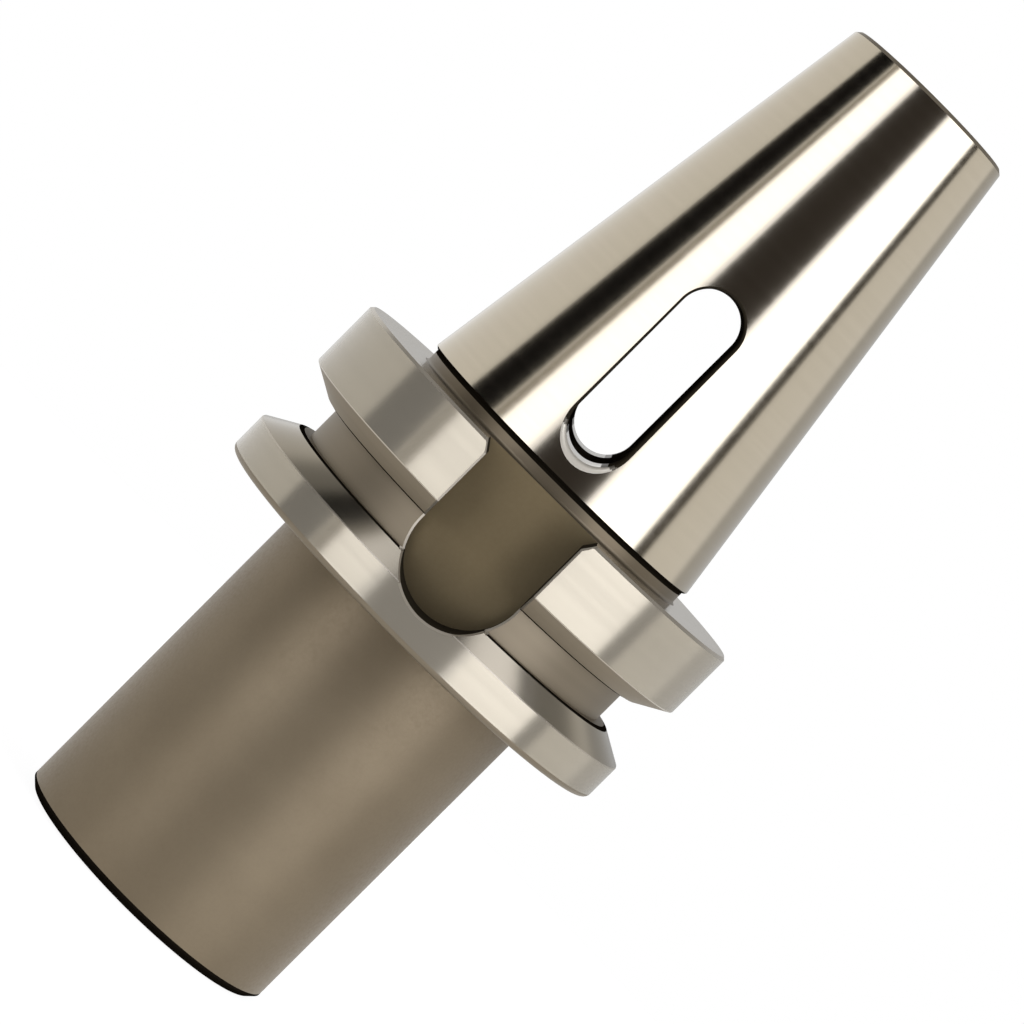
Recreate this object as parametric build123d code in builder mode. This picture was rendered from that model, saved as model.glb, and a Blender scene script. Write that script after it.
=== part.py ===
# A one-piece steel holder that puts a tanged taper shank into a steep-taper milling spindle.
# It stands on its nose: the origin is the centre of the nose face, and +Z runs up its axis
# to the small end of the spindle taper. Lengths are in millimetres, angles in degrees.

import os
from math import atan, cos, radians, sin, tan

from build123d import *

# Spindle taper, up from the gauge line, where it is widest
gauge_diameter = 44.45
spindle_taper_ratio = 7 / 24  # fall of the diameter over the length
spindle_taper_length = 65.4
small_end_chamfer = 0.5

# Lengths along the axis: the gauge line's height over the nose face, and what lies below it
gauge_height = 75.0
neck_length = 2.0
rear_collar_length = 9.6
groove_mouth_width = 10.0
front_collar_length = 5.4

# Neck, and the flange with its gripper groove and the channel in the groove's floor
neck_diameter = 43.4
neck_fillet = 0.5
flange_diameter = 63.0
rear_collar_chamfer = 0.4
front_collar_chamfer = 0.8
groove_included_angle = 60.0
groove_root_diameter = 54.0
channel_diameter = 50.8

# Plain nose below the flange
nose_diameter = 40.0
nose_chamfer = 0.8
nose_fillet = 0.5

# Drive keyways, one on each side of the flange
keyway_width = 16.1
keyway_floor_from_axis = 22.6
keyway_length = 20.9  # from the rear face to the round end
keyway_entry_width = 1.1  # corner cut off each wall at the rear face
keyway_entry_length = 1.5
keyway_rim_chamfer = 0.3

# Drift slot, straight through the thick half of the spindle taper
slot_width = 8.7
slot_length = 27.0
slot_start = 3.5  # over the gauge line
slot_bottom_bevel = 1.05  # widths of the bevel round each mouth, at the slot's lower end
slot_top_bevel = 0.45  # and at its upper end
slot_bevel_angle = 45.0

# Shank socket, up from the nose face
socket_mouth_diameter = 23.825
socket_taper_ratio = 1 / 19.922  # fall of the diameter over the length
socket_end_diameter = 20.2
socket_reach = 5.5  # of the end bore, up into the drift slot
socket_mouth_chamfer = 0.8

# Pull stud's pilot bore and thread core, down from the small end
pilot_diameter = 17.0
pilot_depth = 9.0
pilot_mouth_chamfer = 0.5
thread_core_diameter = 13.835
thread_reach = 0.1  # of the core at full diameter, down into the drift slot
drill_point_angle = 118.0

# How far each cutter runs past the face that it opens
overrun = 1.0

# Heights above the nose face
rear_face_height = gauge_height - neck_length
groove_top_height = rear_face_height - rear_collar_length
groove_bottom_height = groove_top_height - groove_mouth_width
front_face_height = groove_bottom_height - front_collar_length
small_end_height = gauge_height + spindle_taper_length
slot_start_height = gauge_height + slot_start
slot_middle_height = slot_start_height + slot_length / 2
socket_end_height = slot_start_height + socket_reach
thread_end_height = slot_start_height + slot_length - thread_reach

# Radii, and what follows from them
gauge_radius = gauge_diameter / 2
small_end_radius = gauge_radius - spindle_taper_length * spindle_taper_ratio / 2
slot_middle_radius = gauge_radius - (slot_middle_height - gauge_height) * spindle_taper_ratio / 2
taper_half_angle = atan(spindle_taper_ratio / 2)
flange_radius = flange_diameter / 2
groove_root_radius = groove_root_diameter / 2
channel_radius = channel_diameter / 2
neck_radius = neck_diameter / 2
nose_radius = nose_diameter / 2
groove_flank_drop = (flange_radius - groove_root_radius) * tan(radians(groove_included_angle / 2))
socket_mouth_radius = socket_mouth_diameter / 2
socket_end_radius = socket_end_diameter / 2
socket_taper_length = (socket_mouth_diameter - socket_end_diameter) / socket_taper_ratio
pilot_radius = pilot_diameter / 2
thread_core_radius = thread_core_diameter / 2
drill_tip_length = thread_core_radius / tan(radians(drill_point_angle / 2))

# Slot bevel: how deep it goes halfway up, how much wider than the slot its cutter is to start
# with, and how far the cutter leans over, a little less than the taper does
bevel_slope = tan(radians(slot_bevel_angle))
slot_middle_bevel = (slot_bottom_bevel + slot_top_bevel) / 2
bevel_depth = slot_middle_bevel / bevel_slope
bevel_growth = 2 * (slot_middle_bevel + overrun * bevel_slope)
bevel_fall = atan((slot_bottom_bevel - slot_top_bevel) / bevel_slope / slot_length)
bevel_lean = taper_half_angle - bevel_fall

# Keyway outline
keyway_half_width = keyway_width / 2
keyway_arc_height = rear_face_height - keyway_length + keyway_half_width
keyway_entry_reach = keyway_half_width + keyway_entry_width

with BuildPart() as holder:
    # Turned outline: nose, front collar, gripper groove, rear collar, neck and spindle taper
    with BuildSketch(Plane.XZ) as turned_outline:
        with BuildLine():
            Polyline(
                (0, 0),
                (nose_radius, 0),
                (nose_radius, front_face_height),
                (flange_radius, front_face_height),
                (flange_radius, groove_bottom_height),
                (groove_root_radius, groove_bottom_height + groove_flank_drop),
                (channel_radius, groove_bottom_height + groove_flank_drop),
                (channel_radius, groove_top_height - groove_flank_drop),
                (groove_root_radius, groove_top_height - groove_flank_drop),
                (flange_radius, groove_top_height),
                (flange_radius, rear_face_height),
                (neck_radius, rear_face_height),
                (neck_radius, gauge_height),
                (gauge_radius, gauge_height),
                (small_end_radius, small_end_height),
                (0, small_end_height),
                close=True,
            )
        make_face()
        for corner, size in (
            ((nose_radius, 0), nose_chamfer),
            ((flange_radius, front_face_height), front_collar_chamfer),
            ((flange_radius, rear_face_height), rear_collar_chamfer),
            ((small_end_radius, small_end_height), small_end_chamfer),
        ):
            chamfer(turned_outline.vertices().sort_by_distance(corner)[0], size)
        for corner, size in (
            ((nose_radius, front_face_height), nose_fillet),
            ((neck_radius, rear_face_height), neck_fillet),
        ):
            fillet(turned_outline.vertices().sort_by_distance(corner)[0], size)
    revolve(axis=Axis.Z)

    # Drive keyways: round at the lower end, corners cut off at the rear face, rims chamfered
    for keyway_side in (Plane.XZ, Plane.XZ.rotated((0, 0, 180))):
        with BuildSketch(keyway_side.offset(keyway_floor_from_axis)):
            with BuildLine():
                Polyline(
                    (keyway_half_width, keyway_arc_height),
                    (keyway_half_width, rear_face_height - keyway_entry_length),
                    (keyway_entry_reach, rear_face_height),
                    (keyway_entry_reach, rear_face_height + overrun),
                    (0, rear_face_height + overrun),
                )
                CenterArc((0, keyway_arc_height), keyway_half_width, -90, 90)
                mirror(about=Plane.YZ)
            make_face()
        extrude(amount=flange_radius - keyway_floor_from_axis + overrun, mode=Mode.SUBTRACT)
    keyway_edges = holder.edges().filter_by_position(Axis.X, -keyway_entry_reach, keyway_entry_reach)
    rim_edges = keyway_edges.filter_by(Axis.Y, reverse=True).filter_by(
        lambda edge: abs(edge.center().Y) > keyway_floor_from_axis + keyway_rim_chamfer
    )
    chamfer(rim_edges, keyway_rim_chamfer)

    # Drift slot, with both mouths bevelled, more at the lower end than at the upper
    with BuildSketch(Plane.XZ):
        with Locations((0, slot_middle_height)):
            SlotOverall(slot_length, slot_width, rotation=90)
    extrude(amount=gauge_radius + overrun, both=True, mode=Mode.SUBTRACT)
    for side in (-1, 1):
        mouth_plane = Plane(
            origin=(0, side * slot_middle_radius, slot_middle_height),
            x_dir=(1, 0, 0),
            z_dir=(0, -side * cos(bevel_lean), -sin(bevel_lean)),
        )
        with BuildSketch(mouth_plane.offset(-overrun)):
            SlotOverall(slot_length + bevel_growth, slot_width + bevel_growth, rotation=90)
        extrude(amount=bevel_depth + 2 * overrun, taper=slot_bevel_angle, mode=Mode.SUBTRACT)

    # Shank socket: self-holding taper, then an end bore that opens into the drift slot
    with BuildSketch(Plane.XZ):
        with BuildLine():
            Polyline(
                (0, -overrun),
                (socket_mouth_radius + socket_mouth_chamfer + overrun, -overrun),
                (socket_mouth_radius, socket_mouth_chamfer),
                (socket_end_radius, socket_taper_length),
                (socket_end_radius, socket_end_height),
                (0, socket_end_height),
                close=True,
            )
        make_face()
    revolve(axis=Axis.Z, mode=Mode.SUBTRACT)

    # Pull stud's bores: pilot, then the thread core, drilled through into the drift slot
    with BuildSketch(Plane.XZ):
        with BuildLine():
            Polyline(
                (0, small_end_height + overrun),
                (pilot_radius + pilot_mouth_chamfer + overrun, small_end_height + overrun),
                (pilot_radius, small_end_height - pilot_mouth_chamfer),
                (pilot_radius, small_end_height - pilot_depth),
                (thread_core_radius, small_end_height - pilot_depth),
                (thread_core_radius, thread_end_height),
                (0, thread_end_height - drill_tip_length),
                close=True,
            )
        make_face()
    revolve(axis=Axis.Z, mode=Mode.SUBTRACT)

holder.part.label = "holder_body"

os.makedirs("parts", exist_ok=True)
export_step(holder.part, "parts/holder_body.step")
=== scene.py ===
from math import asin, cos, hypot, pi, radians, sin, sqrt, tan

import bmesh
import bpy
from mathutils import Matrix, Vector


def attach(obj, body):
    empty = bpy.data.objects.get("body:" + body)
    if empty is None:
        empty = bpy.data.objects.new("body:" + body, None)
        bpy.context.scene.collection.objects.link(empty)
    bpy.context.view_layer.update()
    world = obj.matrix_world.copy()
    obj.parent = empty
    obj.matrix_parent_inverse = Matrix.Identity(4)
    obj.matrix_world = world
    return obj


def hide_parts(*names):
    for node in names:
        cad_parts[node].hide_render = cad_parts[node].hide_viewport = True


# A taper shank holder, turned, milled and ground from one piece of steel. It stands on its nose at the
# frame's origin. Its mesh is made in millimetres and scaled to metres at the end.

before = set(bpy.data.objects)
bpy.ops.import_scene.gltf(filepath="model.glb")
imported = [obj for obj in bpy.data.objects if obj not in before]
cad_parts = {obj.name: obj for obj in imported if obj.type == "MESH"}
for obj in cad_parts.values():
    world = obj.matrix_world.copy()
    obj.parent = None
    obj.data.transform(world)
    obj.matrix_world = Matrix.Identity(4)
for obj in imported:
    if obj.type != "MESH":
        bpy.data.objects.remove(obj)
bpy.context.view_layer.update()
print("frame loaded")

scene = bpy.context.scene
millimetre = 0.001  # in the frame's unit, the metre
weld = 0.0005  # millimetres within which two vertices become one


# Finishes: pitches, grains, clouds and depths are in millimetres

def newTree(name):
    material = bpy.data.materials.new(name)
    material.use_nodes = True
    return material, material.node_tree, material.node_tree.nodes["Principled BSDF"]


def plug(tree, value, socket):
    # another node's output is linked, and a plain value is set on the socket itself
    if isinstance(value, bpy.types.NodeSocket):
        tree.links.new(value, socket)
    else:
        socket.default_value = value


def setInputs(tree, node, **values):
    for key, value in values.items():
        plug(tree, value, node.inputs[key.replace("_", " ")])


def addNode(tree, kind, settings=None, **values):
    node = tree.nodes.new(kind)
    for key, value in (settings or {}).items():
        setattr(node, key, value)
    setInputs(tree, node, **values)
    return node


def addMath(tree, operation, first, second=None):
    node = addNode(tree, "ShaderNodeMath", {"operation": operation})
    plug(tree, first, node.inputs[0])
    if second is not None:
        plug(tree, second, node.inputs[1])
    return node.outputs[0]


def addRange(tree, value, low, high, start=0.0, end=1.0, blend="LINEAR"):
    # goes from low to high while the value goes from start to end
    node = addNode(
        tree, "ShaderNodeMapRange", {"interpolation_type": blend},
        Value=value, From_Min=start, From_Max=end, To_Min=low, To_Max=high,
    )
    return node.outputs[0]


def addMix(tree, factor, first, second):
    node = addNode(tree, "ShaderNodeMix", {"data_type": "RGBA"})
    for value, index in ((factor, 0), (first, 6), (second, 7)):  # 6 and 7 are its two colours
        plug(tree, (*value, 1) if isinstance(value, tuple) else value, node.inputs[index])
    return node.outputs[2]


def addBump(tree, height, depth):
    bump = addNode(tree, "ShaderNodeBump", Height=height, Strength=1.0, Distance=depth * millimetre)
    return bump.outputs[0]


def newGroup(name, inputs, outputs):
    group = bpy.data.node_groups.new(name, "ShaderNodeTree")
    for label, value in inputs.items():
        socket = group.interface.new_socket(label, in_out="INPUT", socket_type="NodeSocketFloat")
        socket.default_value = value
    for label in outputs:
        group.interface.new_socket(label, in_out="OUTPUT", socket_type="NodeSocketFloat")
    return group, group.nodes.new("NodeGroupInput").outputs, group.nodes.new("NodeGroupOutput")


def placeGroup(tree, group, **values):
    return addNode(tree, "ShaderNodeGroup", {"node_tree": group}, **values).outputs


def makeTurningMarks():
    # fine rings that a tool or a wheel leaves round the axis, on outsides, bores and end faces alike
    endFaceShare = 0.77  # of the distance from the axis, which parts the rings on faces square to it
    group, given, result = newGroup("turningMarks", {"Pitch": 0.2, "Length": 3.0}, ["Height", "Streak"])
    place = group.nodes.new("ShaderNodeTexCoord").outputs["Object"]
    apart = addNode(group, "ShaderNodeSeparateXYZ", Vector=place).outputs
    squares = [addMath(group, "MULTIPLY", apart[axis], apart[axis]) for axis in ("X", "Y")]
    across = addMath(group, "SQRT", addMath(group, "ADD", *squares))
    along = addMath(group, "ADD", apart["Z"], addMath(group, "MULTIPLY", across, endFaceShare))
    ring = addMath(group, "DIVIDE", addMath(group, "MULTIPLY", along, 1 / millimetre), given["Pitch"])
    reach = addMath(group, "MAXIMUM", across, millimetre)  # never nought on the axis
    turnX, turnY = [
        addMath(group, "MULTIPLY", addMath(group, "DIVIDE", apart[axis], reach), given["Length"])
        for axis in ("X", "Y")
    ]
    spread = addNode(group, "ShaderNodeCombineXYZ", X=turnX, Y=turnY, Z=ring).outputs[0]
    fine = addNode(group, "ShaderNodeTexNoise", Vector=spread, Scale=1.0, Detail=3.0, Roughness=0.6)
    broad = addNode(group, "ShaderNodeTexNoise", Vector=spread, Scale=0.11, Detail=2.0)
    setInputs(group, result, Height=fine.outputs[0], Streak=broad.outputs[0])
    return group


def makeSteelGrain():
    # the even, very fine tooth of hardened and blasted steel, with slow cloudy shifts in tone
    speckShare = 0.5  # specks stand half as close as the tooth
    group, given, result = newGroup(
        "steelGrain", {"Grain": 0.25, "Cloud": 14.0}, ["Height", "Speck", "Cloud"],
    )
    place = group.nodes.new("ShaderNodeTexCoord").outputs["Object"]
    small = addMath(group, "DIVIDE", 1 / millimetre, given["Grain"])
    large = addMath(group, "DIVIDE", 1 / millimetre, given["Cloud"])
    sparse = addMath(group, "MULTIPLY", small, speckShare)
    tooth = addNode(group, "ShaderNodeTexNoise", Vector=place, Scale=small, Detail=2.0, Roughness=0.65)
    speck = addNode(group, "ShaderNodeTexVoronoi", Vector=place, Scale=sparse)
    cloud = addNode(group, "ShaderNodeTexNoise", Vector=place, Scale=large, Detail=4.0, Roughness=0.55)
    setInputs(
        group, result, Height=tooth.outputs[0], Speck=speck.outputs["Distance"], Cloud=cloud.outputs[0],
    )
    return group


turningMarks = makeTurningMarks()
steelGrain = makeSteelGrain()


def makeTurnedSteel(name, pitch, colours, roughness, metallic, depth):
    # bare steel with the rings of a tool or a wheel, from mirror-ground to matte
    material, tree, bsdf = newTree(name)
    rings = placeGroup(tree, turningMarks, Pitch=pitch, Length=2.5)
    setInputs(
        tree, bsdf,
        Base_Color=addMix(tree, rings["Streak"], *colours),
        Roughness=addRange(tree, rings["Streak"], *roughness),
        Metallic=metallic,
        Specular_IOR_Level=0.25,
        Normal=addBump(tree, rings["Height"], depth),
    )
    return material


def makeEdgeSteel(name, colours, roughness, metallic, shine):
    # chamfers, bevels and walls too narrow for marks of their own: only a slow shift in tone
    material, tree, bsdf = newTree(name)
    grain = placeGroup(tree, steelGrain, Grain=0.4, Cloud=6.0)
    setInputs(
        tree, bsdf,
        Base_Color=addMix(tree, grain["Cloud"], *colours),
        Roughness=addRange(tree, grain["Cloud"], *roughness),
        Metallic=metallic,
        Specular_IOR_Level=shine,
        Normal=addBump(tree, grain["Height"], depth=0.001),
    )
    return material


satinCollar = {
    "colours": ((0.408, 0.363, 0.282), (0.46, 0.41, 0.318)), "roughness": (0.13, 0.18),
    "metallic": (0.44, 0.52), "shine": 0.2, "depth": 0.0008,
}


def makeSatinCollar():
    # collars: satin steel that mirrors its surroundings over a soft sheen of its own
    material, tree, bsdf = newTree("satinCollar")
    rings = placeGroup(tree, turningMarks, Pitch=0.12, Length=3.0)
    grain = placeGroup(tree, steelGrain, Grain=0.3, Cloud=11.0)
    setInputs(
        tree, bsdf,
        Base_Color=addMix(tree, rings["Streak"], *satinCollar["colours"]),
        Roughness=addRange(tree, grain["Cloud"], *satinCollar["roughness"]),
        Metallic=addRange(tree, rings["Streak"], *satinCollar["metallic"]),
        Specular_IOR_Level=satinCollar["shine"],
        Normal=addBump(tree, rings["Height"], satinCollar["depth"]),
    )
    return material


temperedNose = {
    "colours": ((0.164, 0.126, 0.078), (0.243, 0.193, 0.126)), "streak": (0.185, 0.146, 0.095),
    "streakShare": (0.0, 0.35), "roughness": (0.36, 0.5), "metallic": 0.65, "shine": 0.3,
    "ringShare": 0.5, "depth": 0.006,
}


def makeTemperedNose():
    # nose as it left the furnace: even grey-brown, with fine turning rings under the tooth
    nose = temperedNose
    material, tree, bsdf = newTree("temperedNose")
    rings = placeGroup(tree, turningMarks, Pitch=0.25, Length=4.0)
    grain = placeGroup(tree, steelGrain, Grain=0.22, Cloud=16.0)
    tone = addMix(tree, grain["Cloud"], *nose["colours"])
    streaks = addRange(tree, rings["Streak"], *nose["streakShare"])
    shallow = addMath(tree, "MULTIPLY", rings["Height"], nose["ringShare"])
    setInputs(
        tree, bsdf,
        Base_Color=addMix(tree, streaks, tone, nose["streak"]),
        Roughness=addRange(tree, grain["Speck"], *nose["roughness"]),
        Metallic=nose["metallic"],
        Specular_IOR_Level=nose["shine"],
        Normal=addBump(tree, addMath(tree, "ADD", grain["Height"], shallow), nose["depth"]),
    )
    return material


milledKeyway = {
    "colours": ((0.166, 0.123, 0.06), (0.235, 0.177, 0.093)), "shadeTone": (0.062, 0.047, 0.021),
    "shadeHeights": (52, 61), "unshadedLow": 0.45,  # painted shade, deepest under the first height and gone over the second
    "shadeSides": (30, 180), "unshadedAside": 0.5,  # painted shade towards one wall likewise, by across times out
    "roughness": (0.5, 0.65), "metallic": 0.3, "shine": 0.3, "sweepShare": 0.4, "depth": 0.004,
}


def makeMilledKeyway():
    # keyway floor: brown from hardening, with the end mill's sweep showing faintly, and painted shade
    # towards its lower end and one wall
    floor = milledKeyway
    material, tree, bsdf = newTree("milledKeyway")
    grain = placeGroup(tree, steelGrain, Grain=0.3, Cloud=9.0)
    place = tree.nodes.new("ShaderNodeTexCoord").outputs["Object"]
    sweep = addNode(
        tree, "ShaderNodeTexWave", {"wave_type": "RINGS", "rings_direction": "Y"},
        Vector=place, Scale=900.0, Distortion=1.5, Detail=1.0,
    )
    apart = addNode(tree, "ShaderNodeSeparateXYZ", Vector=place).outputs
    lowest, highest = [height * millimetre for height in floor["shadeHeights"]]
    upwards = addRange(tree, apart["Z"], floor["unshadedLow"], 1.0, lowest, highest)
    # across times out has one sign on the same side of both keyways
    aside = addMath(tree, "MULTIPLY", addMath(tree, "MULTIPLY", apart["X"], apart["Y"]), -1.0)
    nearest, farthest = [side * millimetre ** 2 for side in floor["shadeSides"]]
    sidewards = addRange(tree, aside, 1.0, floor["unshadedAside"], nearest, farthest)
    # painted shade: the floor's tone darkens towards the keyway's lower end and towards one wall
    unshaded = addMath(tree, "MULTIPLY", upwards, sidewards)
    tone = addMix(tree, grain["Cloud"], *floor["colours"])
    shallow = addMath(tree, "MULTIPLY", sweep.outputs[1], floor["sweepShare"])
    setInputs(
        tree, bsdf,
        Base_Color=addMix(tree, unshaded, floor["shadeTone"], tone),
        Roughness=addRange(tree, grain["Speck"], *floor["roughness"]),
        Metallic=floor["metallic"],
        Specular_IOR_Level=floor["shine"],
        Normal=addBump(tree, addMath(tree, "ADD", grain["Height"], shallow), floor["depth"]),
    )
    return material


cutThread = {
    "colours": ((0.2, 0.178, 0.142), (0.32, 0.29, 0.24)), "roughness": (0.25, 0.4),
    "metallic": 0.9, "depth": 0.003,
}


def makeCutThread():
    # pull stud's bore: oiled and darker, with clouded tone and smeared chip marks
    material, tree, bsdf = newTree("cutThread")
    rings = placeGroup(tree, turningMarks, Pitch=0.3, Length=6.0)
    grain = placeGroup(tree, steelGrain, Grain=0.25, Cloud=4.0)
    setInputs(
        tree, bsdf,
        Base_Color=addMix(tree, grain["Cloud"], *cutThread["colours"]),
        Roughness=addRange(tree, rings["Streak"], *cutThread["roughness"]),
        Metallic=cutThread["metallic"],
        Normal=addBump(tree, rings["Height"], cutThread["depth"]),
    )
    return material


finishes = [
    makeTurnedSteel(
        "groundTaper", pitch=0.09, colours=((0.47, 0.415, 0.322), (0.51, 0.452, 0.353)),
        roughness=(0.12, 0.16), metallic=1, depth=0.0003,
    ),
    makeSatinCollar(),
    makeTurnedSteel(
        "turnedFlank", pitch=0.12, colours=((0.27, 0.238, 0.184), (0.308, 0.271, 0.21)),
        roughness=(0.19, 0.23), metallic=1, depth=0.0002,
    ),
    makeTurnedSteel(
        "turnedGroove", pitch=0.2, colours=((0.19, 0.156, 0.108), (0.246, 0.204, 0.145)),
        roughness=(0.42, 0.5), metallic=0.75, depth=0.002,
    ),
    makeTemperedNose(),
    makeMilledKeyway(),
    makeEdgeSteel(
        "milledRim", colours=((0.36, 0.315, 0.245), (0.44, 0.39, 0.31)),
        roughness=(0.25, 0.35), metallic=0.5, shine=0.5,
    ),
    # painted highlight: a pale colour for the rounded mouth at the slot's foot
    makeEdgeSteel(
        "paintedHighlightMouth", colours=((0.68, 0.62, 0.51), (0.76, 0.7, 0.59)),
        roughness=(0.3, 0.4), metallic=0.3, shine=0.5,
    ),
    makeEdgeSteel(
        "brokenEdge", colours=((0.4, 0.355, 0.285), (0.5, 0.45, 0.37)),
        roughness=(0.22, 0.34), metallic=0.85, shine=0.5,
    ),
    # painted shade: near black for the nose's cut and the band over it, the gauge line's edge and the band
    # under it, and the groove's roots
    makeEdgeSteel(
        "paintedShade", colours=((0.006, 0.0047, 0.003), (0.013, 0.01, 0.0066)),
        roughness=(0.45, 0.6), metallic=0, shine=0,
    ),
    makeTurnedSteel(
        "boredSocket", pitch=0.16, colours=((0.27, 0.24, 0.195), (0.35, 0.315, 0.26)),
        roughness=(0.26, 0.36), metallic=0.9, depth=0.003,
    ),
    makeCutThread(),
    makeTurnedSteel(
        "relievedNeck", pitch=0.2, colours=((0.128, 0.103, 0.066), (0.18, 0.145, 0.098)),
        roughness=(0.34, 0.42), metallic=0.65, depth=0.001,
    ),
    makeTurnedSteel(
        "facedShoulder", pitch=0.12, colours=((0.52, 0.463, 0.37), (0.58, 0.52, 0.42)),
        roughness=(0.14, 0.2), metallic=0.95, depth=0.0005,
    ),
    # painted shade: near black for the walls of slot and keyways, and for the slot's rim above its bright
    # foot
    makeEdgeSteel(
        "paintedShadeWall", colours=((0.016, 0.0125, 0.008), (0.034, 0.027, 0.017)),
        roughness=(0.45, 0.6), metallic=0, shine=0,
    ),
    # painted highlight: a mirror finish whose colour is raised past steel's, for the slot's walls at its
    # foot
    makeEdgeSteel(
        "paintedHighlightFoot", colours=((0.84, 0.79, 0.7), (0.9, 0.86, 0.78)),
        roughness=(0.08, 0.14), metallic=1, shine=0.5,
    ),
    # painted light: the darker band between the bright foot and the near-black walls
    makeEdgeSteel(
        "paintedLightFade", colours=((0.12, 0.105, 0.08), (0.17, 0.15, 0.12)),
        roughness=(0.3, 0.4), metallic=0.3, shine=0.3,
    ),
]
finishIndex = {finish.name: index for index, finish in enumerate(finishes)}
print("finishes made:", len(finishes))


# Turned body

body = {  # heights are above the nose face, angles in degrees, and the rest are radii, cuts and counts
    "gauge": 22.225, "gaugeHeight": 75.0, "gaugeCut": 0.3,
    "gaugeShade": 0.5,  # painted shadow: dark band under the gauge line's edge
    "taperRatio": 7 / 24, "smallEndHeight": 140.4, "smallEndCut": 0.5,
    "neck": 21.7, "neckFillet": 0.5, "rearHeight": 73.0, "rearCut": 0.4,
    "collar": 31.5, "grooveTop": 63.4, "grooveBottom": 53.4, "grooveRoot": 27.0, "channel": 25.4,
    "flankAngle": 30, "edgeBreak": 0.1, "rootCut": 0.4, "frontHeight": 48.0, "frontCut": 0.8,
    "nose": 20.0, "noseCut": 0.8, "noseFillet": 0.5,
    "noseShade": 0.35,  # painted shade: dark band over the nose's cut
    "socketMouth": 11.9125, "socketRatio": 1 / 19.922, "socketEnd": 10.1, "socketTop": 84.0,
    "socketCut": 0.8, "pilot": 8.5, "pilotDepth": 9.0, "pilotCut": 0.5,
    "core": 6.9175, "coreHeight": 105.4, "drillPoint": 118, "threadCut": 0.9,
    "filletSteps": 6, "steps": 192,
}


def flankDrop():
    # height of one slanting flank of the gripper groove
    return (body["collar"] - body["grooveRoot"]) * tan(radians(body["flankAngle"]))


def outlineCorners():
    # (radius, height, cut, steps of the cut): down the socket, out over the nose face, up the outside
    # and down the pull stud's bore
    b = body
    edge = (b["edgeBreak"], 1)
    root = (b["rootCut"], 1)
    sharp = (0, 0)
    socketShoulder = 2 * (b["socketMouth"] - b["socketEnd"]) / b["socketRatio"]
    channelBottom = b["grooveBottom"] + flankDrop()
    channelTop = b["grooveTop"] - flankDrop()
    smallEnd = b["gauge"] - (b["smallEndHeight"] - b["gaugeHeight"]) * b["taperRatio"] / 2
    pilotFloor = b["smallEndHeight"] - b["pilotDepth"]
    drillTip = b["coreHeight"] - b["core"] / tan(radians(b["drillPoint"] / 2))
    return [
        (0, b["socketTop"], *sharp),
        (b["socketEnd"], b["socketTop"], *sharp),
        (b["socketEnd"], socketShoulder, *sharp),
        (b["socketMouth"], 0, b["socketCut"], 1),
        (b["nose"], 0, b["noseCut"], 1),
        # parts off the band of painted shade over the nose's cut
        (b["nose"], b["noseCut"] + b["noseShade"], *sharp),
        (b["nose"], b["frontHeight"], b["noseFillet"], b["filletSteps"]),
        (b["collar"], b["frontHeight"], b["frontCut"], b["filletSteps"]),
        (b["collar"], b["grooveBottom"], *edge),
        (b["grooveRoot"], channelBottom, *root),
        (b["channel"], channelBottom, *sharp),
        (b["channel"], channelTop, *sharp),
        (b["grooveRoot"], channelTop, *root),
        (b["collar"], b["grooveTop"], *edge),
        (b["collar"], b["rearHeight"], b["rearCut"], 1),
        (b["neck"], b["rearHeight"], b["neckFillet"], b["filletSteps"]),
        # parts off the band of painted shadow under the gauge line
        (b["neck"], b["gaugeHeight"] - b["gaugeShade"], *sharp),
        (b["neck"], b["gaugeHeight"], *sharp),
        (b["gauge"], b["gaugeHeight"], b["gaugeCut"], 1),
        (smallEnd, b["smallEndHeight"], b["smallEndCut"], 1),
        (b["pilot"], b["smallEndHeight"], b["pilotCut"], 1),
        (b["pilot"], pilotFloor, *sharp),
        (b["core"], pilotFloor, b["threadCut"], 1),
        (b["core"], b["coreHeight"], *sharp),
        (0, drillTip, *sharp),
    ]


faceLimits = {  # millimetres, and shares of a face's normal that run along the axis
    "near": 0.01, "thin": 0.1, "narrow": 1.2, "slanting": (0.1, 0.95), "steep": 0.5,
}


def turnedFinish(face):
    b, limits = body, faceLimits
    near, thin = limits["near"], limits["thin"]
    least, most = limits["slanting"]
    centre = face.calc_center_median()
    radius = hypot(centre.x, centre.y)
    heights = [vert.co.z for vert in face.verts]
    rise = max(heights) - min(heights)
    longest = max(edge.calc_length() for edge in face.edges)
    small = max(rise, longest) < limits["narrow"]
    inGroove = b["grooveBottom"] < centre.z < b["grooveTop"]
    if radius < b["socketMouth"] + b["socketCut"] and centre.z < b["socketTop"] + near:
        return "boredSocket"
    if radius < b["pilot"] + b["pilotCut"]:
        return "cutThread"
    # painted shade on the nose's cut and the band over it, on the gauge line's edge and the band under it,
    # and in the groove's roots
    if radius < b["nose"] + thin and centre.z < b["noseCut"] + b["noseShade"] and rise > thin:
        return "paintedShade"
    if centre.z < b["frontHeight"] + near and radius < b["collar"] - b["frontCut"]:
        return "temperedNose"
    if b["gaugeHeight"] - b["gaugeShade"] < centre.z < b["gaugeHeight"] + b["gaugeCut"]:
        return "paintedShade"
    if b["rearHeight"] + near < centre.z < b["gaugeHeight"]:
        return "relievedNeck"
    if abs(centre.z - b["rearHeight"]) < near:
        return "facedShoulder"
    if inGroove and abs(radius - b["grooveRoot"]) < b["rootCut"]:
        return "paintedShade"
    if centre.z > b["smallEndHeight"] - b["smallEndCut"] and rise > thin:
        return "turnedGroove"
    if small and radius > b["channel"] and least < abs(face.normal.z) < most:
        return "turnedGroove" if centre.z < b["frontHeight"] + b["frontCut"] else "brokenEdge"
    if inGroove:
        return "turnedFlank" if radius > b["grooveRoot"] and face.normal.z > 0 else "turnedGroove"
    if centre.z > b["gaugeHeight"] and abs(face.normal.z) < limits["steep"]:
        return "groundTaper"
    return "satinCollar"


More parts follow.
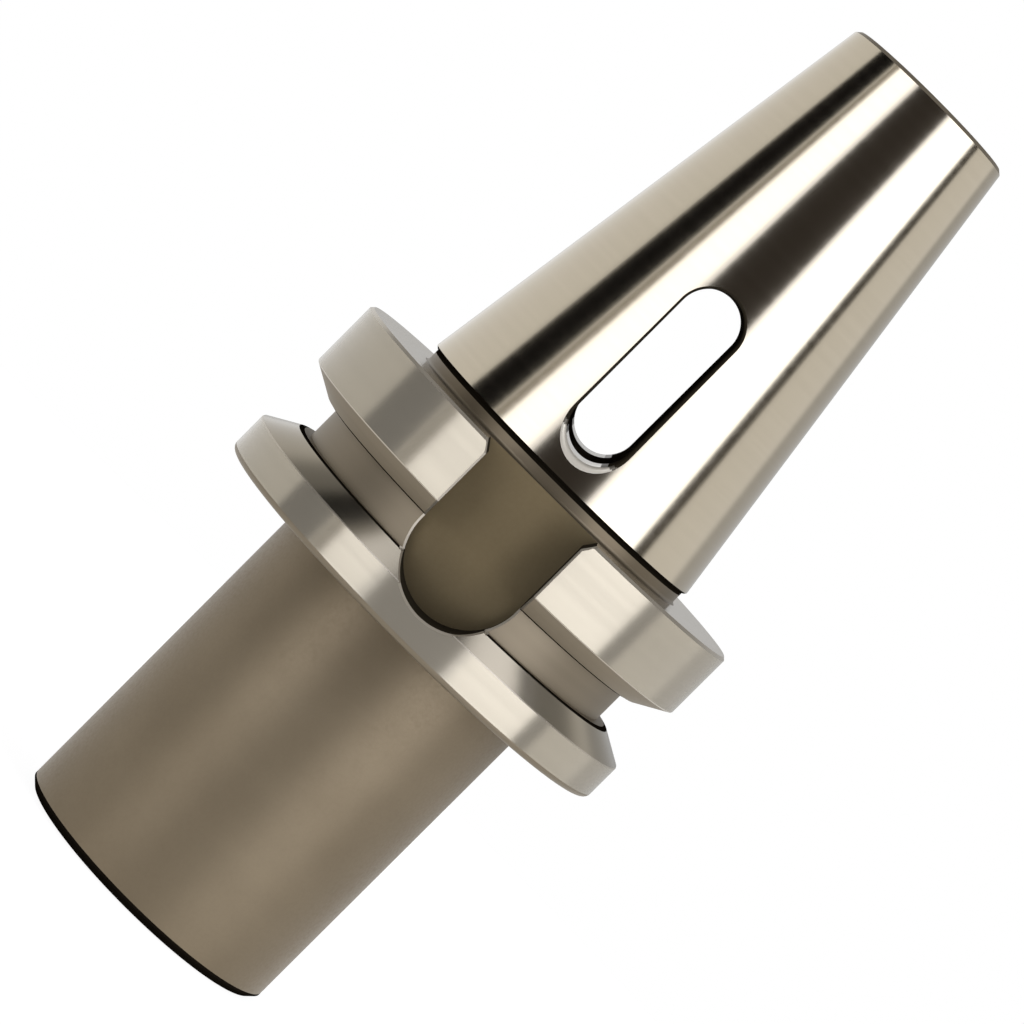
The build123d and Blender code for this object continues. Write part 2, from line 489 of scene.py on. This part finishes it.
def turnBody():
    mesh = bmesh.new()
    corners = outlineCorners()
    verts = [mesh.verts.new((radius, 0, height)) for radius, height, cut, steps in corners]
    for first, second in zip(verts, verts[1:]):
        mesh.edges.new((first, second))
    for vert, (radius, height, cut, steps) in zip(verts, corners):
        if cut:
            bmesh.ops.bevel(
                mesh, geom=[vert], offset=cut, offset_type="OFFSET", segments=steps, profile=0.5,
                affect="VERTICES", material=-1, clamp_overlap=False,
            )
    outline = mesh.verts[:] + mesh.edges[:]
    bmesh.ops.spin(
        mesh, geom=outline, cent=(0, 0, 0), axis=(0, 0, 1), dvec=(0, 0, 0), angle=2 * pi,
        steps=body["steps"], use_merge=True, use_duplicate=False,
    )
    bmesh.ops.remove_doubles(mesh, verts=mesh.verts, dist=weld)
    bmesh.ops.recalc_face_normals(mesh, faces=mesh.faces)
    for face in mesh.faces:
        face.material_index = finishIndex[turnedFinish(face)]
    return mesh


def linkPiece(name, data):
    piece = bpy.data.objects.new(name, data)
    scene.collection.objects.link(piece)
    return piece


def toObject(mesh, name, materials):
    data = bpy.data.meshes.new(name)
    mesh.to_mesh(data)
    mesh.free()
    for material in materials:
        data.materials.append(material)
    return linkPiece(name, data)


# Openings milled from the side

def taperSurface(height):
    # (radius, its change with height) of the spindle taper
    slope = body["taperRatio"] / 2
    return body["gauge"] - (height - body["gaugeHeight"]) * slope, -slope


def flangeSurface(height):
    # the same for the outline of the flange that a keyway's rim follows
    b = body
    drop = flankDrop()
    steep = (b["collar"] - b["grooveRoot"]) / drop
    if height < b["grooveBottom"]:
        return b["collar"], 0
    if height < b["grooveBottom"] + drop:
        return b["collar"] - (height - b["grooveBottom"]) * steep, -steep
    if height < b["grooveTop"] - drop:
        return b["channel"], 0
    if height < b["grooveTop"]:
        return b["collar"] - (b["grooveTop"] - height) * steep, steep
    if height < b["rearHeight"] - b["rearCut"]:
        return b["collar"], 0
    return b["collar"] - (height - b["rearHeight"] + b["rearCut"]), -1


def makePlug(name, half, surface, mouth, floor, outside, finish):
    # half an outline, point by point (across, height, direction out, cut), and its mirror image are
    # extruded from the floor; the mouth widens in steps (aside, under the surface) that are shares of
    # each point's cut; the finishes are those of floor, walls and rim
    outline = list(half)
    for x, height, out, cut in reversed(half):
        if x > weld:
            outline.append((-x, height, Vector((-out.x, out.y)), cut))
    mesh = bmesh.new()
    corner = mesh.verts.layers.int.new("corner")
    level = mesh.verts.layers.int.new("level")
    for index, (x, height, out, cut) in enumerate(outline):
        mesh.verts.new((x, -floor, height))[corner] = index
    mesh.faces.new(mesh.verts)
    for step, (aside, under) in enumerate(mouth + [(mouth[-1][0], None)], start=1):
        lid = [face for face in mesh.faces if all(vert[level] == step - 1 for vert in face.verts)]
        grown = bmesh.ops.extrude_face_region(mesh, geom=lid)["geom"]
        if step > 1 or floor == 0:
            bmesh.ops.delete(mesh, geom=lid, context="FACES_ONLY")
        for vert in [item for item in grown if isinstance(item, bmesh.types.BMVert)]:
            vert[level] = step
            x, height, out, cut = outline[vert[corner]]
            radius, change = surface(height)
            rise = sqrt(radius * radius - x * x)
            slope = (radius * change * out.y - x * out.x) / rise
            tangent = Vector((1, slope)).normalized() * cut * aside
            lift = outside if under is None else rise + tangent.y - under * cut
            vert.co = (x + out.x * tangent.x, -lift, height + out.y * tangent.x)
    if floor == 0:
        # an opening right through: the same again for the far side, joined at the middle
        copied = bmesh.ops.duplicate(mesh, geom=mesh.verts[:] + mesh.edges[:] + mesh.faces[:])["geom"]
        copied = [item for item in copied if isinstance(item, bmesh.types.BMVert)]
        bmesh.ops.rotate(mesh, verts=copied, cent=(0, 0, 0), matrix=Matrix.Rotation(pi, 3, "Z"))
        bmesh.ops.remove_doubles(mesh, verts=mesh.verts, dist=weld)
    bmesh.ops.recalc_face_normals(mesh, faces=mesh.faces)
    floorFinish, wallFinish, rimFinish = finish
    for face in mesh.faces:
        levels = sorted(vert[level] for vert in face.verts)
        chosen = rimFinish if levels[0] else (wallFinish if levels[-1] else floorFinish)
        face.material_index = finishIndex[chosen]
    return toObject(mesh, name, finishes)


slot = {
    "width": 8.7, "length": 27.0, "middle": 92.0, "outside": 24.0, "arcSteps": 32, "sideSteps": 8,
    "topCut": 0.35, "sideCut": 0.45, "footCut": 1.05,  # rounding of the mouth, widest at the foot
    "highlightTop": 80.3, "highlightTopInside": 79.6, "fading": 0.6,  # painted light: heights under which mouth and foot are painted bright, and the darker band over them
    "roundSteps": 4, "roundPast": (1.4, -0.079),
}


def slotRounding():
    # a quarter round in steps from the slot's wall, to three places, and a last one past the taper's surface
    angles = [pi / 2 * step / slot["roundSteps"] for step in range(slot["roundSteps"])]
    quarter = [(round(1 - cos(angle), 3), round(1 - sin(angle), 3)) for angle in angles]
    return quarter + [slot["roundPast"]]


def slotOutline():
    s = slot
    radius = s["width"] / 2
    span = s["length"] / 2 - radius
    angles = [pi / 2 * step / s["arcSteps"] for step in range(s["arcSteps"] + 1)]
    places = [(Vector((sin(angle), cos(angle))), span) for angle in angles]
    sides = [span * (1 - 2 * step / s["sideSteps"]) for step in range(1, s["sideSteps"])]
    places += [(Vector((1, 0)), centre) for centre in sides]
    places += [(Vector((cos(angle), -sin(angle))), -span) for angle in angles]
    points = []
    for out, centre in places:
        height = centre + radius * out.y
        share = height / s["length"] + 0.5
        cut = s["sideCut"] + (s["topCut"] - s["sideCut"]) * share
        cut += (s["footCut"] - s["sideCut"]) * max(0, -out.y) ** 2
        points.append((radius * out.x, s["middle"] + height, out, cut))
    return points


def makeSlotPlug():
    s = slot
    piece = makePlug(
        "slotPlug", slotOutline(), taperSurface, mouth=slotRounding(), floor=0, outside=s["outside"],
        finish=("paintedShadeWall", "paintedShadeWall", "paintedHighlightMouth"),
    )
    # painted light by height: the foot's walls and rim painted bright, a darker band over them, and
    # everything above painted near-black shade
    for face in piece.data.polygons:
        onRim = face.material_index == finishIndex["paintedHighlightMouth"]
        above = face.center.z - s["highlightTop" if onRim else "highlightTopInside"]
        if above > s["fading"]:
            face.material_index = finishIndex["paintedShadeWall"]
        elif above > 0:
            face.material_index = finishIndex["paintedLightFade"]
        elif not onRim:
            face.material_index = finishIndex["paintedHighlightFoot"]
    return piece


keyway = {
    "halfWidth": 8.05, "floor": 22.6, "length": 20.9, "entryWidth": 1.1, "entryLength": 1.5,
    "rimCut": 0.3, "chamfer": [(0, 1), (2, -1)], "outside": 34.0, "over": 1.0,
    "arcSteps": 40, "flankSteps": 5, "gap": 0.02,
}


def keywayOutline():
    k, b = keyway, body
    halfWidth = k["halfWidth"]
    drop = flankDrop()
    upperRoot = b["grooveTop"] - drop
    lowerRoot = b["grooveBottom"] + drop
    arcHeight = b["rearHeight"] - k["length"] + halfWidth
    entryBottom = b["rearHeight"] - k["entryLength"]
    entryReach = halfWidth + k["entryWidth"]
    cutHeight = b["rearHeight"] - b["rearCut"]
    share = (cutHeight - entryBottom) / k["entryLength"]
    square = Vector((1, 0))
    slant = Vector((k["entryLength"], -k["entryWidth"])).normalized()
    between = (slant + square).normalized()
    points = [
        (entryReach, b["rearHeight"] + k["over"], square),
        (entryReach, b["rearHeight"], between),
        (halfWidth + k["entryWidth"] * share, cutHeight, slant),
        (halfWidth, entryBottom, between),
    ]
    heights = [b["grooveTop"] - drop * step / k["flankSteps"] for step in range(k["flankSteps"])]
    heights += [upperRoot + k["gap"], upperRoot - k["gap"]]
    points += [(halfWidth, height, square) for height in heights]
    # round the lower end, with a point more wherever the flange's outline turns
    marks = (lowerRoot + k["gap"], lowerRoot - k["gap"], b["grooveBottom"])
    angles = [pi / 2 * step / k["arcSteps"] for step in range(k["arcSteps"] + 1)]
    angles += [asin((arcHeight - mark) / halfWidth) for mark in marks]
    for angle in sorted(angles):
        out = Vector((cos(angle), -sin(angle)))
        points.append((halfWidth * out.x, arcHeight + halfWidth * out.y, out))
    return [(x, height, out, k["rimCut"]) for x, height, out in points]


def makeKeywayPlug(turn):
    k = keyway
    piece = makePlug(
        # the keyway's walls take the near-black painted shade
        "keywayPlug", keywayOutline(), flangeSurface, mouth=k["chamfer"], floor=k["floor"],
        outside=k["outside"], finish=("milledKeyway", "paintedShadeWall", "milledRim"),
    )
    piece.data.transform(Matrix.Rotation(turn, 4, "Z"))
    return piece


# Pull stud's thread

thread = {
    "pitch": 2.0, "major": 8.0, "inner": 6.8, "top": 132.6, "turns": 12.5, "steps": 64,
    "rootFlat": 0.25, "flankAngle": 30,
}


def threadTap():
    # one tooth's outline, wound round the axis once for each turn and closed at both ends
    t = thread
    mesh = bmesh.new()
    halfFlat = t["rootFlat"] / 2
    halfFoot = halfFlat + (t["major"] - t["inner"]) * tan(radians(t["flankAngle"]))
    bottom = t["top"] - t["pitch"] * (t["turns"] + 1)
    middle = bottom + t["pitch"] / 2
    tooth = [
        (t["inner"], bottom), (t["inner"], middle - halfFoot),
        (t["major"], middle - halfFlat), (t["major"], middle + halfFlat),
        (t["inner"], middle + halfFoot), (t["inner"], bottom + t["pitch"]),
    ]
    verts = [mesh.verts.new((radius, 0, height)) for radius, height in tooth]
    for first, second in zip(verts, verts[1:]):
        mesh.edges.new((first, second))
    rise = t["pitch"] / t["steps"]
    bmesh.ops.spin(
        mesh, geom=mesh.verts[:] + mesh.edges[:], cent=(0, 0, 0), axis=(0, 0, 1), dvec=(0, 0, rise),
        angle=2 * pi * t["turns"], steps=int(t["turns"] * t["steps"]),
        use_merge=False, use_duplicate=False,
    )
    bmesh.ops.remove_doubles(mesh, verts=mesh.verts, dist=weld)
    rims = [edge for edge in mesh.edges if edge.is_boundary]
    halfway = (bottom + t["top"]) / 2
    for atTop, height in ((False, middle), (True, t["top"] - t["pitch"] / 2)):
        rim = [edge for edge in rims if (edge.verts[0].co.z > halfway) == atTop]
        drawn = bmesh.ops.extrude_edge_only(mesh, edges=rim)["geom"]
        drawn = [item for item in drawn if isinstance(item, bmesh.types.BMVert)]
        bmesh.ops.pointmerge(mesh, verts=drawn, merge_co=(0, 0, height))
    bmesh.ops.recalc_face_normals(mesh, faces=mesh.faces)
    for face in mesh.faces:
        face.material_index = finishIndex["cutThread"]
    return toObject(mesh, "threadTap", finishes)


# Cutting and shading the body

def cutAway(piece, cutters):
    for cutter in cutters:
        cut = piece.modifiers.new(cutter.name, "BOOLEAN")
        cut.operation = "DIFFERENCE"
        cut.solver = "EXACT"
        cut.object = cutter
    graph = bpy.context.evaluated_depsgraph_get()
    data = bpy.data.meshes.new_from_object(piece.evaluated_get(graph))
    piece.modifiers.clear()
    piece.data = data
    for cutter in cutters:
        bpy.data.objects.remove(cutter)


def cleanMesh(piece):
    mesh = bmesh.new()
    mesh.from_mesh(piece.data)
    bmesh.ops.remove_doubles(mesh, verts=mesh.verts, dist=2 * weld)
    bmesh.ops.dissolve_degenerate(mesh, edges=mesh.edges, dist=weld)
    openEdges = sum(not edge.is_manifold for edge in mesh.edges)
    print("faces:", len(mesh.faces), "open edges:", openEdges)
    mesh.to_mesh(piece.data)
    mesh.free()


shading = {
    "onAxis": 0.01, "innermost": 0.5,  # millimetres from the axis, where vertices and faces have no side
    "wide": 1,  # millimetres of outline from which a face keeps its own slope
    "sideways": 0.03,  # the most that a turned face's normal may point along its ring
    "flank": (0.8, 0.95),  # share of a groove flank's normal that runs along the axis
    "markLean": 30, "alike": 22, "sharp": 28,  # degrees
    "milled": ("milledKeyway", "milledRim", "paintedHighlightMouth", "paintedHighlightFoot", "paintedLightFade"),
}


def turnedSlope(face):
    # (outward, upward) normal of a turned face's outline, or nothing for a face that isn't turned
    b, s = body, shading
    centre, normal = face.center, face.normal
    radius = hypot(centre.x, centre.y)
    if radius < s["innermost"] or finishes[face.material_index].name in s["milled"]:
        return None
    sideways = (normal.y * centre.x - normal.x * centre.y) / radius
    if abs(sideways) > s["sideways"]:
        return None
    least, most = s["flank"]
    if least < abs(normal.z) < most and b["grooveBottom"] < centre.z < b["grooveTop"]:
        # the marks on the groove's flanks lean their reflections outward
        lean = radians(s["markLean"]) * (1 if normal.z > 0 else -1)
        return Vector((cos(lean), sin(lean)))
    outward = (normal.x * centre.x + normal.y * centre.y) / radius
    return Vector((outward, normal.z)).normalized()


def ringOf(point):
    # vertices of one ring round the axis share their radius and height
    return round(hypot(point.x, point.y), 2), round(point.z, 2)


def shadeTurned(piece):
    # turned faces take the exact slope of their outline, so that reflections run true round the axis
    data = piece.data
    slopes = {}
    rings = {}
    for face in data.polygons:
        slope = turnedSlope(face)
        if slope is None:
            continue
        slopes[face.index] = slope
        points = [data.vertices[index].co for index in face.vertices]
        heights = [point.z for point in points]
        reaches = [hypot(point.x, point.y) for point in points]
        size = hypot(max(heights) - min(heights), max(reaches) - min(reaches))
        for point in points:
            rings.setdefault(ringOf(point), []).append((size, slope))
    near = cos(radians(shading["alike"]))
    data.shade_smooth()
    data.set_sharp_from_angle(angle=radians(shading["sharp"]))
    normals = [corner.vector.copy() for corner in data.corner_normals]
    for index, slope in slopes.items():
        for loop in data.polygons[index].loop_indices:
            point = data.vertices[data.loops[loop].vertex_index].co
            radius = hypot(point.x, point.y)
            if radius < shading["onAxis"]:
                continue
            alike = [item for item in rings[ringOf(point)] if item[1].dot(slope) > near]
            size, leading = max(alike, key=lambda item: item[0])
            if size < shading["wide"]:
                leading = sum((item[1] for item in alike), Vector((0, 0))).normalized()
            outX, outY = point.x / radius, point.y / radius
            normals[loop] = Vector((outX * leading.x, outY * leading.x, leading.y))
    data.normals_split_custom_set(normals)


def makeHolderBody():
    piece = toObject(turnBody(), "holderBody", finishes)
    cutters = [makeSlotPlug(), makeKeywayPlug(0), makeKeywayPlug(pi), threadTap()]
    cutAway(piece, cutters)
    cleanMesh(piece)
    shadeTurned(piece)
    piece.data.transform(Matrix.Scale(millimetre, 4))
    piece.data.name = "holderBody"
    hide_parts("holder_body")
    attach(piece, "root")
    print("holder body made")


makeHolderBody()


# Camera

camera = {
    "lens": 159.1, "sensor": 36.0, "place": (-6.0, -570.0, 102.0),  # millimetres
    "down": 0.0615, "aside": 0.0094, "roll": pi / 4 + 0.0003,  # radians
    "nearest": 0.01,  # metres
}


def makeCamera():
    data = bpy.data.cameras.new("camera")
    data.lens = camera["lens"]
    data.sensor_width = camera["sensor"]
    data.clip_start = camera["nearest"]
    piece = linkPiece("camera", data)
    aim = Matrix.Rotation(-camera["aside"], 4, "Z") @ Matrix.Rotation(pi / 2 - camera["down"], 4, "X")
    place = Matrix.Translation(Vector(camera["place"]) * millimetre)
    piece.matrix_world = place @ aim @ Matrix.Rotation(camera["roll"], 4, "Z")
    scene.camera = piece


# Studio

studio = {  # metres, and degrees from the camera's side towards the right
    "low": -0.15, "boxHigh": 1.15, "boxDistance": 0.8, "boxColour": (0.96, 1.0, 1.12), "cardHigh": 1.7,
    "boxes": {  # bearing, spread, lean and glow
        "leftBox": (-39.15, 33.8, 0, 1.75),
        "rightBox": (52.9, 53, -10, 2.1),
    },
    "cards": {  # bearing, spread, lean, distance and colour
        "frontCard": (1.5, 56, 0, 0.82, (0.073, 0.063, 0.056)),
        "leftCard": (-77, 26, 4, 0.78, (0.004, 0.0035, 0.003)),
        "leftStrip": (-57.8, 6.4, 3, 0.79, (0.62, 0.565, 0.475)),
        "rightStrip": (77.0, 10, 1, 0.78, (0.06, 0.045, 0.026)),
    },
}


def standingPlace(bearing, distance, lean, high):
    centre = (0, -distance, (studio["low"] + high) / 2)
    upright = Matrix.Rotation(pi / 2, 4, "X") @ Matrix.Rotation(radians(lean), 4, "Z")
    return Matrix.Rotation(radians(bearing), 4, "Z") @ Matrix.Translation(centre) @ upright


def widthFor(spread, distance):
    return 2 * distance * tan(radians(spread / 2))


def matteTree(name, colour):
    material, tree, bsdf = newTree(name)
    setInputs(tree, bsdf, Base_Color=(*colour, 1), Roughness=1, Specular_IOR_Level=0)
    return material, tree, bsdf


def makeSoftbox(name, place, width, height, glow):
    light = bpy.data.lights.new(name, "AREA")
    light.shape = "RECTANGLE"
    light.size = width
    light.size_y = height
    light.energy = glow * width * height * pi
    light.color = studio["boxColour"]
    piece = linkPiece(name, light)
    piece.matrix_world = place
    piece.visible_camera = False


def makeCard(name, place, width, height, colour):
    mesh = bmesh.new()
    bmesh.ops.create_grid(mesh, x_segments=1, y_segments=1, size=0.5)
    bmesh.ops.scale(mesh, verts=mesh.verts, vec=(width, height, 1))
    bmesh.ops.transform(mesh, matrix=place, verts=mesh.verts)
    material, tree, bsdf = matteTree(name, colour)
    piece = toObject(mesh, name, [material])
    piece.visible_camera = False


def makeStudio():
    low, boxHigh, cardHigh = studio["low"], studio["boxHigh"], studio["cardHigh"]
    for name, (bearing, spread, lean, glow) in studio["boxes"].items():
        distance = studio["boxDistance"]
        place = standingPlace(bearing, distance, lean, boxHigh)
        makeSoftbox(name, place, widthFor(spread, distance), boxHigh - low, glow)
    for name, (bearing, spread, lean, distance, colour) in studio["cards"].items():
        place = standingPlace(bearing, distance, lean, cardHigh)
        makeCard(name, place, widthFor(spread, distance), cardHigh - low, colour)


surroundings = {
    "fill": 0.47,  # strength of the light on matte steel, where what is seen directly has 1
    "shades": [  # directions in which it mirrors less, how near to them from and to, and strength there
        ((0.0, 0.0, 1.0), 0.42, 0.52, 0.38),
        ((0.39, 0.92, 0.0), 0.8, 0.9, 0.56),
    ],
}


def makeWorld():
    # white all round; what the steel mirrors is darker overhead and behind
    world = bpy.data.worlds.new("whiteStudio")
    world.use_nodes = True
    tree = world.node_tree
    aim = tree.nodes.new("ShaderNodeTexCoord").outputs["Generated"]
    mirrored = 1.0
    for direction, start, end, strength in surroundings["shades"]:
        towards = addNode(tree, "ShaderNodeVectorMath", {"operation": "DOT_PRODUCT"})
        plug(tree, aim, towards.inputs[0])
        plug(tree, direction, towards.inputs[1])
        shade = addRange(tree, towards.outputs["Value"], 1.0, strength, start, end, "SMOOTHSTEP")
        mirrored = addMath(tree, "MULTIPLY", shade, mirrored)
    path = tree.nodes.new("ShaderNodeLightPath").outputs
    plain = addMath(tree, "MAXIMUM", path["Is Camera Ray"], path["Is Transmission Ray"])
    glow = addRange(tree, path["Is Glossy Ray"], surroundings["fill"], mirrored)
    glow = addRange(tree, plain, glow, 1.0)
    setInputs(tree, tree.nodes["Background"], Color=(1, 1, 1, 1), Strength=glow)
    scene.world = world


paleFloor = {  # metres, and the strength and share of its glow where it is seen or mirrored
    "radius": 0.3, "drop": 0.0002, "segments": 96, "colour": (0.9, 0.9, 0.9),
    "glow": 1.22, "glowShare": 0.75,
}


def makeFloor():
    # a disc that shades as a floor does, glows nearly white to the camera and is seen through from below
    f = paleFloor
    mesh = bmesh.new()
    bmesh.ops.create_circle(mesh, cap_ends=True, segments=f["segments"], radius=f["radius"])
    bmesh.ops.translate(mesh, verts=mesh.verts, vec=(0, 0, -f["drop"]))
    mesh.normal_update()
    bmesh.ops.reverse_faces(mesh, faces=[face for face in mesh.faces if face.normal.z < 0])
    material, tree, bsdf = matteTree("paleFloor", f["colour"])
    path = tree.nodes.new("ShaderNodeLightPath").outputs
    direct = addMath(tree, "MAXIMUM", path["Is Camera Ray"], path["Is Glossy Ray"])
    direct = addMath(tree, "MAXIMUM", direct, path["Is Transmission Ray"])
    glow = addNode(tree, "ShaderNodeEmission", Strength=f["glow"])
    blend = addNode(tree, "ShaderNodeMixShader", Fac=addMath(tree, "MULTIPLY", direct, f["glowShare"]))
    plug(tree, bsdf.outputs[0], blend.inputs[1])
    plug(tree, glow.outputs[0], blend.inputs[2])
    below = tree.nodes.new("ShaderNodeNewGeometry").outputs["Backfacing"]
    shown = addNode(tree, "ShaderNodeMixShader", Fac=below)
    plug(tree, blend.outputs[0], shown.inputs[1])
    plug(tree, tree.nodes.new("ShaderNodeBsdfTransparent").outputs[0], shown.inputs[2])
    setInputs(tree, tree.nodes["Material Output"], Surface=shown.outputs[0])
    piece = toObject(mesh, "floor", [material])


makeCamera()
makeWorld()
makeFloor()
makeStudio()
scene.view_settings.view_transform = "Standard"
print("camera and studio made")
